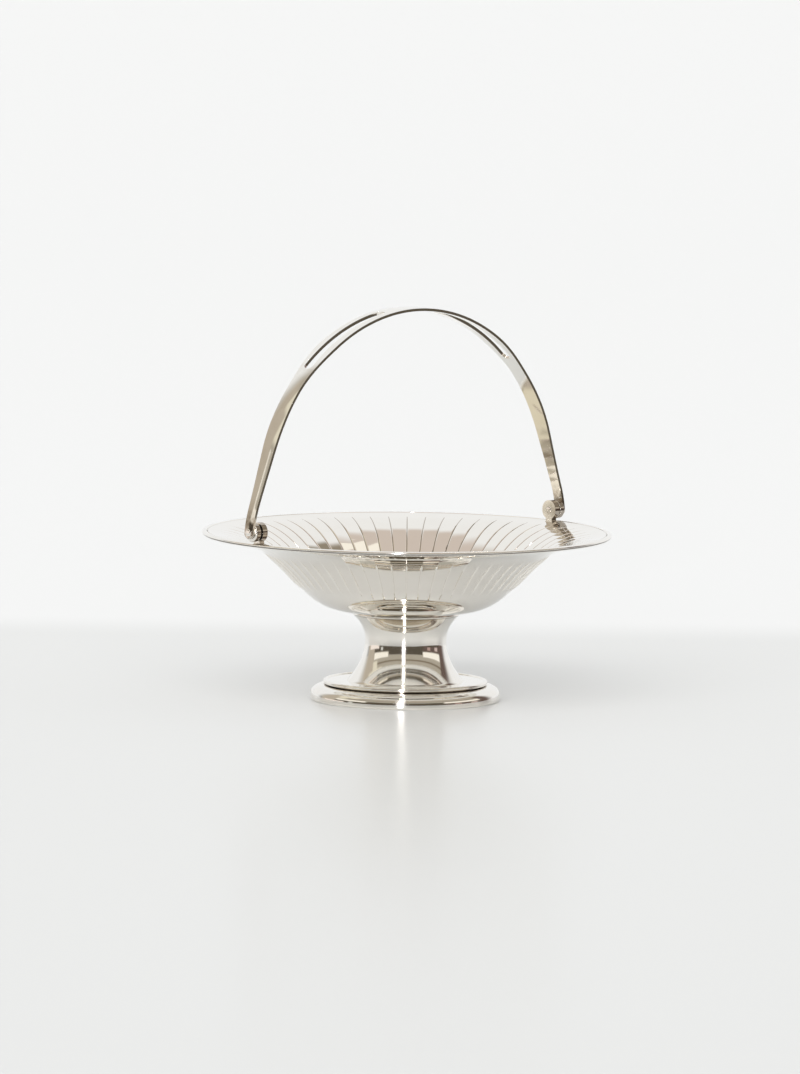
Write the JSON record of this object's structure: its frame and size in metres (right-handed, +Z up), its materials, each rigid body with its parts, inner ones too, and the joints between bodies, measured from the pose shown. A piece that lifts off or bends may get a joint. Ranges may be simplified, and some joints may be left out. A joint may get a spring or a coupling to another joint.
{
  "type": "fruit bowl with swing handle",
  "caption": "Round pedestal fruit bowl in polished silver plate, with a creased wall, a wide wired brim, a waisted stem on a flared foot and a slotted arched handle that swings.",
  "frame": {"origin": "centre of the foot's underside, where it rests on the table", "axes": "+Z up along the stem, +X from the centre to one hinge of the handle, +Y across the handle"},
  "size_m": [0.2368, 0.23, 0.2212],
  "materials": {
    "silver_plate": "high polish"
  },
  "bodies": {
    "bowl": {"bowl_shell": "silver_plate", "rim_wire": "silver_plate", "stem_collar": "silver_plate", "stem": "silver_plate", "foot_ledge": "silver_plate", "foot_base": "silver_plate", "lug_left": "silver_plate", "lug_right": "silver_plate", "hinge_pin_left": "silver_plate", "hinge_pin_right": "silver_plate"},
    "handle": {"handle_strap": "silver_plate", "knuckle_left": "silver_plate", "knuckle_right": "silver_plate"}
  },
  "joints": [
    {"name": "handle_swing", "type": "hinge", "parent": "bowl", "child": "handle", "pos_m": [0, 0, 0.10095], "axis": [1, 0, 0], "range_deg": [-89, 89]}
  ]
}
